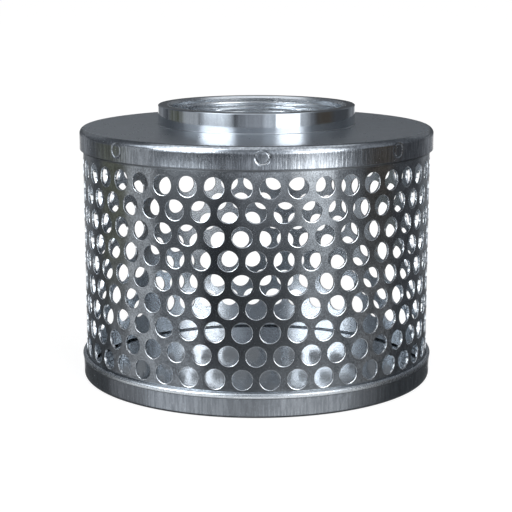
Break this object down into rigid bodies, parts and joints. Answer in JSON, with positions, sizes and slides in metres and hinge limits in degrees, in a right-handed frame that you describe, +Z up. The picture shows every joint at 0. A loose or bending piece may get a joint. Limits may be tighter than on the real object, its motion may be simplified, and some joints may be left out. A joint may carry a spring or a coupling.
{
  "type": "hose strainer",
  "caption": "Round suction hose strainer: a perforated steel drum between a pressed pan and a cap with a threaded neck, which keeps debris out of a pump's intake hose.",
  "frame": {"origin": "middle of the pan's flat underside, on the surface that the strainer stands on", "axes": "+Z up along the drum's axis to the neck, -Y towards the side that the picture shows, +X to the picture's right"},
  "size_m": [0.1766, 0.1766, 0.135],
  "materials": {
    "drum_metal": "bright zinc-plated perforated sheet",
    "pan_metal": "bright zinc-plated pressed sheet",
    "cap_metal": "bright zinc-plated pressed sheet",
    "neck_metal": "bright zinc-plated turned steel"
  },
  "bodies": {
    "root": {"perforated_shell": "drum_metal", "bottom_pan": "pan_metal", "top_cap": "cap_metal", "threaded_neck": "neck_metal"}
  },
  "joints": []
}
